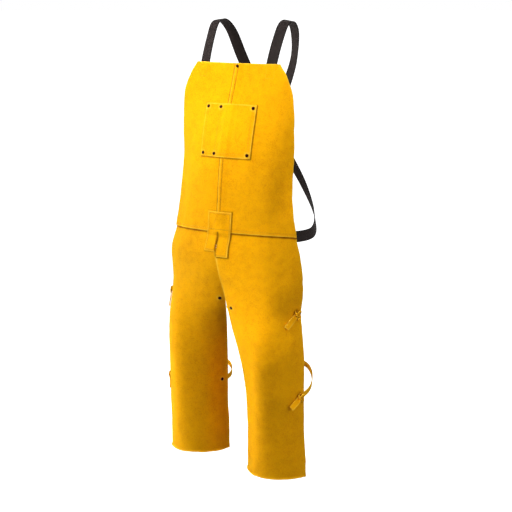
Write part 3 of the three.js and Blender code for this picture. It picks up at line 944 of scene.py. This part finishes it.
# Leg ties of leather lace, round the back, out through the slit and knotted on the front
def knot_tube(knot, middle, along, up, outward, first):
    """Overhand knot of lace pulled snug, lying on the leather."""
    count = LINES.knot
    t = np.linspace(0, 2 * np.pi, count + 1)[:-1]
    x = np.sin(t) + 2 * np.sin(2 * t)
    y = np.cos(t) - 2 * np.cos(2 * t)
    z = -np.sin(3 * t)
    path = (
        middle
        + along * (x * knot.across / 3)[:, None]
        + up * (y * knot.tall / 3)[:, None]
        + outward * (z * knot.deep)[:, None]
    )
    tangent = unit(np.roll(path, -1, 0) - np.roll(path, 1, 0))
    side = unit(np.cross(outward[None, :], tangent))
    normal = unit(np.cross(tangent, side))
    turn = np.linspace(0, 2 * np.pi, LINES.tube + 1)[:-1]
    square = 0.7
    wide = np.sign(np.cos(turn)) * np.abs(np.cos(turn)) ** square * knot.lace / 2
    thick = np.sign(np.sin(turn)) * np.abs(np.sin(turn)) ** square * knot.thick / 2
    points = path[:, None] + side[:, None] * wide[:, None] + normal[:, None] * thick[:, None]
    flat = np.stack(np.broadcast_arrays(wide, np.arange(count)[:, None] * 0.9), -1)
    wear = np.repeat((np.abs(wide) > knot.lace * 0.42)[None, :].astype(float), count, 0)
    # Painted shade in the knot's crevices, darker where the lace lies deeper
    dark = np.repeat(np.clip(0.25 - 0.75 * z, 0, 1)[:, None], LINES.tube, 1)
    faces = ring_faces(count, LINES.tube, True, first)
    return points.reshape(-1, 3), faces, flat.reshape(-1, 2), wear.ravel(), dark.ravel()


def tie_strip(side, level):
    """Nets of the lace from its rivet, round behind the leg and out through the slit."""
    spot = TIES[side, level]
    z = spot.z
    width = width_at(side, z)
    inside = -LAYER - 2 * GAP - LEATHER / 2
    outside = LEATHER / 2 + GAP
    entry = [spot.inset + TIE.tuck, spot.inset, *TIE_ENTRY]
    start = stations(side, entry, z + spot.rise * TIE_RISE, inside)
    ends = stations(side, [0, width], z, inside)[0]
    middle = ends.mean(0)
    reach = ends[0] - middle
    t = np.linspace(0, np.pi, LINES.loop)[1:-1, None]
    behind = (spot.back - middle[1]) * np.sin(t) ** spot.bow
    rise = spot.back_rise * np.sin(t) ** 2
    back = middle + reach * np.cos(t) + np.concatenate([t * 0, behind, rise], 1)
    back_out = unit(reach) * np.cos(t) + np.concatenate([t * 0, np.sin(t), t * 0], 1)
    before = slit_at(side, z) + TIE.through
    after = slit_at(side, z) - TIE.through
    exit_way = [width - 1, before + 3, before, after, after - 3]
    finish = stations(side, exit_way, z, [inside] * 3 + [outside] * 2)
    route = follow([start, (back, back_out), finish], LINES.tie)
    return band_nets(*route, TIE.width, LEATHER, LINES.lace)


def tie_tail(side, level):
    """Nets of the free end below the knot."""
    sign = SIGN[side]
    spot = TIES[side, level]
    lean = math.radians(spot.lean)
    run = spaced(0, spot.length, STEP.tail)
    s = slit_at(side, spot.z) - 2 - run * math.sin(lean)
    height = spot.z - run * math.cos(lean)
    along, up, out = axes_at(side, s, height)
    lie = sign * (along * math.cos(lean) - up * math.sin(lean))
    twist = (math.radians(spot.twist) * np.clip(run / TAIL_FORM.twist_over, 0, 1))[:, None]
    turned = lie * np.cos(twist) + sign * out * np.sin(twist)
    facing = out * np.cos(twist) - sign * lie * np.sin(twist)
    lift = LEATHER / 2 + GAP + TAIL_FORM.rest + spot.lift * (run / run[-1]) ** 2
    lift = lift + TAIL_FORM.wave * np.sin(run / TAIL_FORM.pitch) ** 2
    lift = lift + TIE.width / 2 * np.sin(twist[:, 0])
    opened = np.clip(run / TAIL_FORM.pinch_over, 0, 1) ** TAIL_FORM.pinch_power
    pinch = TAIL_FORM.pinch + (1 - TAIL_FORM.pinch) * opened
    centre = raised(side, s, height, lift)
    return band_nets(centre, turned * pinch[:, None], facing, TIE.width, LEATHER, LINES.lace)


def lace_part(nets, first):
    """Points, faces, flat cut, wear and painted shade (none here) of a length of lace."""
    outer, inner, flat, wear, _ = nets
    wears = np.tile(wear.ravel(), 2)
    return *wall_parts(outer, inner, flat, first=first), wears, wears * 0


def tie(side, level):
    """One tie: the lace, its free end and its knot in one mesh."""
    strip = tie_strip(side, level)
    tail = tie_tail(side, level)
    z = np.array([TIES[side, level].z - KNOT_OFFSET])
    across = np.array([slit_at(side, TIES[side, level].z) - KNOT_OFFSET])
    directions = [way[0] for way in axes_at(side, across, z)]
    heart = raised(side, across, z, np.array([KNOT[side].lift]))[0]
    parts = [lace_part(strip, 0)]
    parts.append(lace_part(tail, len(parts[0][0])))
    parts.append(knot_tube(KNOT[side], heart, *directions, len(parts[0][0]) + len(parts[1][0])))
    # The knot's painted shade goes into the mesh's shade mark
    points, faces, flats, wears, crevice_shades = zip(*parts)
    piece = mesh_object(
        f"tie_{side}_{level}_lace", np.concatenate(points), sum(faces, []), TIE_LOOK, "tie_leather",
        np.concatenate(flats), wear=np.concatenate(wears), soil=np.concatenate(crevice_shades),
    )
    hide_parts(f"tie_{side}_{level}")


# Rivets
def rivet(solid, side, across, z, lift, grip):
    """A rivet, turned from a profile of radii and heights: domed cap, shank and burr."""
    cap, shank, burr = RIVET.cap, RIVET.shank, RIVET.burr
    front = RIVET.play / 2
    back = -grip - RIVET.play / 2
    foot = back - RIVET.burr_rise
    brim = 0.35
    dome = [
        (cap * math.sin(a), front + brim + (RIVET.rise - brim) * math.cos(a))
        for a in np.linspace(0, math.pi / 2, 9)
    ]
    profile = dome + [
        (cap * 0.98, front + 0.1), (cap * 0.9, front), (shank, front), (shank, back),
        (burr * 0.94, back), (burr, back - 0.3), (burr * 0.94, foot),
        (shank, foot), (shank * 0.6, foot - 0.5), (0, foot - 0.6),
    ]
    count = 28
    turn = np.linspace(0, 2 * np.pi, count + 1)[:-1]
    across, z, lift = (np.array([float(value)]) for value in (across, z, lift))
    along, up, outward = (way[0] for way in axes_at(side, across, z))
    heart = raised(side, across, z, lift)[0]
    around = along * np.cos(turn)[:, None] + up * np.sin(turn)[:, None]
    rings = [heart + outward * height + radius * around for radius, height in profile[1:-1]]
    tip, tail = (heart + outward * profile[k][1] for k in (0, -1))
    points = np.concatenate([[tip], *rings, [tail]])
    body = ring_faces(len(rings), count, False, 1)
    last = len(points) - 1
    ring = range(count)
    top = [[0, 1 + (k + 1) % count, 1 + k] for k in ring]
    end = [[last, last - count + k, last - count + (k + 1) % count] for k in ring]
    faces = top + body + end
    if side == "left":
        faces = [face[::-1] for face in faces]
    piece = mesh_object(f"{solid}_metal", points, faces, RIVET_LOOK, "rivet_metal")
    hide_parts(solid)


# Thread, in short stitches that dip into the leather at their ends
def stitch_row(path, lift_at, skip=(), inner=False):
    """Middles, directions and normals of the stitches along a path."""
    path = np.asarray(path, float)
    length = run_length(path)
    middles = np.arange(STITCH.pitch / 2, length[-1], STITCH.pitch)
    reach = 0.4
    at, fore, aft = (
        np.stack([np.interp(middles + shift, length, path[:, k]) for k in (0, 1)], -1)
        for shift in (0, reach, -reach)
    )
    keep = np.ones(len(at), bool)
    for across, z in skip:
        keep &= np.hypot(at[:, 0] - across, at[:, 1] - z) > STITCH.clear
    s, z = at[keep].T
    ds, dz = (fore - aft)[keep].T
    lift = lift_at(s, z)
    places = raised_signed(s, z, lift)
    ahead = raised_signed(s + ds, z + dz, lift)
    over = raised_signed(s, z, lift + 1)
    normal = unit(over - places) * (-1 if inner else 1)
    return places, unit(ahead - places), normal


def thread(name, rows):
    """All stitches of some rows as one mesh of small rounded bars."""
    places, ways, normals = (np.concatenate([row[k] for row in rows]) for k in range(3))
    sides = np.cross(normals, ways)
    t = np.array([-1.0, -0.7, 0.0, 0.7, 1.0])
    swell = np.array([0.35, 0.85, 1.0, 0.85, 0.35])
    dip = np.array([-0.35, 0.02, 0.16, 0.02, -0.35])
    count = 6
    turn = np.linspace(0, 2 * np.pi, count + 1)[:-1]
    radius = (STITCH.radius * swell)[:, None, None]
    points = (
        places[:, None, None]
        + ways[:, None, None] * (t * STITCH.half)[:, None, None]
        + normals[:, None, None] * (dip[:, None, None] + radius * np.sin(turn)[:, None])
        + sides[:, None, None] * radius * np.cos(turn)[:, None]
    )
    faces = []
    for k in range(len(places)):
        first = k * len(t) * count
        last = first + (len(t) - 1) * count
        faces += ring_faces(len(t), count, False, first)
        faces.append(list(range(first, first + count))[::-1])
        faces.append(list(range(last, last + count)))
    faces = [face[::-1] for face in faces]
    mesh_object(name, points.reshape(-1, 3), faces, THREAD_LOOK, None)


# The pieces of each side, and those on the middle
for half_side in SIGN:
    strap(half_side)
    bib_half(half_side)
    leg_panel(half_side)
    for half_level, (across_at, z_at) in zip(LEVELS, tie_rivets(half_side)):
        tie(half_side, half_level)
        solid_name = f"rivet_tie_{half_side}_{half_level}"
        rivet(solid_name, half_side, across_at, z_at, -GAP, LEATHER + LAYER + GAP)
chest_pocket()
fly_patch()

# Rivets of the bib and the pocket
rivet("rivet_top", "left", SEAM.shift, BIB_TOP - RIVET.inset, LAYER + LEATHER, LAYER + LEATHER)
for number, (across_at, z_at) in enumerate(pocket_rivets):
    rivet(
        f"rivet_pocket_{number + 1}", "right" if across_at < 0 else "left", abs(across_at), z_at,
        LAYER + LEATHER, LAYER + LEATHER,
    )


# Sewing
def bib_lift(across, z):
    """Lift of the bib's outer face."""
    return np.where(across < seam_shift(z) - SEAM.lap, 0.0, seam_lift(across, z)) + LEATHER


def bib_back(across, z):
    """Lift of the bib's inner face."""
    return np.where(across > seam_shift(z) + SEAM.lap, seam_lift(across, z), 0.0)


def pocket_front(across, z):
    """Lift of the pocket's outer face."""
    return pocket_lift(across, z) + LEATHER


def patch_front(across, z):
    """Lift of the patch's outer face."""
    share = np.where(
        z >= WAIST,
        (PATCH.top - z) / (PATCH.top - WAIST),
        1 + (WAIST - z) / (WAIST - patch_foot(across)),
    )
    return patch_place(across, share)[1] + LEATHER


right_edge = ROW_END.side - width_at("right", WAIST_ROW)
left_edge = width_at("left", WAIST_ROW) - ROW_END.side
seam_top = BIB_TOP - ROW_END.top
seam_paths = [
    [(SEAM.row + float(seam_shift(seam_top)), seam_top), (SEAM.row, SEAM.turn)],
    [(SEAM.row, POCKET.bottom - ROW_END.clear), (SEAM.row, PATCH.top + ROW_END.clear)],
]
waist_paths = [
    [(right_edge, WAIST_ROW), (PATCH.start - ROW_END.clear, WAIST_ROW)],
    [(PATCH.end + ROW_END.clear, WAIST_ROW), (left_edge, WAIST_ROW)],
]
box_paths = []
for sign in SIGN.values():
    low = sign * (STRAP.across - STRAP_BOX.half)
    high = sign * (STRAP.across + STRAP_BOX.half)
    top = BIB_TOP - STRAP_BOX.top
    foot = BIB_TOP - STRAP.tuck + STRAP_BOX.foot
    box_paths.append([(low, top), (high, top), (high, foot), (low, foot), (low, top)])
front_rows = [stitch_row(path, bib_lift) for path in seam_paths + waist_paths + box_paths]
back_rows = [stitch_row(path, bib_back, inner=True) for path in seam_paths]
thread("thread_bib", front_rows + back_rows)
pocket_rows = [stitch_row(path, pocket_front, skip=pocket_rivets) for path in pocket_sewing()]
thread("thread_pocket", pocket_rows)
thread("thread_patch", [stitch_row(path, patch_front) for path in patch_sewing()])

# Floor, and a white backdrop far behind that only the camera sees
WHITE = (1, 1, 1, 1)
FLOOR_Z = -1.45
FLOOR_END = 300
WALL = Sizes(radius=50, height=40, sides=48)


def set_piece(name, look, points, faces, inputs):
    """A piece of the set, with light of its own that doesn't fall on the part."""
    mesh = bpy.data.meshes.new(name)
    mesh.from_pydata(points, [], faces)
    material, tree, skin = shader(look)
    feed(tree, skin, {"Emission Color": WHITE, **inputs})
    mesh.materials.append(material)
    piece = add_object(name, mesh)
    piece.visible_diffuse = False
    piece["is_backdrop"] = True
    return piece


corners = ((-1, -1), (1, -1), (1, 1), (-1, 1))
set_piece(
    "floor", "pale_floor", [(x * FLOOR_END, y * FLOOR_END, FLOOR_Z) for x, y in corners], [(0, 1, 2, 3)],
    {
        "Base Color": (0.94, 0.94, 0.94, 1), "Roughness": 0.9, "Specular IOR Level": 0.1,
        "Emission Strength": 0.8,
    },
)
turns = np.arange(WALL.sides) * 2 * np.pi / WALL.sides
ring = [(WALL.radius * math.cos(turn), WALL.radius * math.sin(turn)) for turn in turns]
wall = set_piece(
    "backdrop", "white_backdrop", [(x, y, z) for z in (FLOOR_Z, WALL.height) for x, y in ring],
    ring_faces(2, WALL.sides, False, 0),
    {"Base Color": (0, 0, 0, 1), "Specular IOR Level": 0, "Emission Strength": 1.0},
)
wall.visible_glossy = False
wall.visible_transmission = False
wall.visible_shadow = False

# Light and camera
world = bpy.data.worlds.new("studio")
world.use_nodes = True
feed(world.node_tree, world.node_tree.nodes["Background"], {"Color": WHITE, "Strength": 0.2})
bpy.context.scene.world = world


def point(item, axis, direction):
    """Turns an object so that one of its axes points in a direction."""
    item.rotation_mode = "QUATERNION"
    item.rotation_quaternion = Vector(direction).to_track_quat(axis, "Y")


def lamp(name, towards, strength, angle):
    """A soft distant lamp whose light comes from a direction."""
    data = bpy.data.lights.new(name, "SUN")
    data.energy = strength
    data.angle = math.radians(angle)
    point(add_object(name, data), "Z", towards)


def softbox(name, place, aim, power, size, spread=180):
    """A square soft lamp that faces a point, its light kept within an angle of spread."""
    data = bpy.data.lights.new(name, "AREA")
    data.energy = power
    data.size = size
    data.spread = math.radians(spread)
    item = add_object(name, data)
    item.location = place
    item.visible_camera = False
    point(item, "-Z", Vector(aim) - Vector(place))


lamp("overhead", (0.05, 0.28, 1.0), strength=1.2, angle=40)
softbox("key", (-0.58, -1.12, 0.6), (0, -0.15, -0.48), power=17, size=0.7)
softbox("bib", (-0.58, -1.12, 0.6), (0, -0.15, -0.2), power=1.2, size=0.5, spread=45)
softbox("fill", (1.9, -0.5, -0.45), (0.1, -0.15, -0.75), power=11, size=1.0)
softbox("thigh", (-0.9, -1.8, -0.2), (0.15, -0.15, -0.78), power=0.12, size=0.2, spread=12)
softbox("low", (-1.8, -1.0, -1.0), (0, -0.15, -1.12), power=0.95, size=0.4, spread=30)
softbox("left", (-2.4, -0.3, -0.9), (0, -0.12, -0.95), power=22, size=0.6)

camera_data = bpy.data.cameras.new("camera")
camera_data.sensor_width = 36
camera_data.lens = 97.7
camera = add_object("camera", camera_data)
camera.location = (2.0066, -3.4603, 0.144)
point(camera, "-Z", (-0.4896, 0.848, -0.2029))
bpy.context.scene.camera = camera
bpy.context.scene.view_settings.view_transform = "Standard"

low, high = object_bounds()
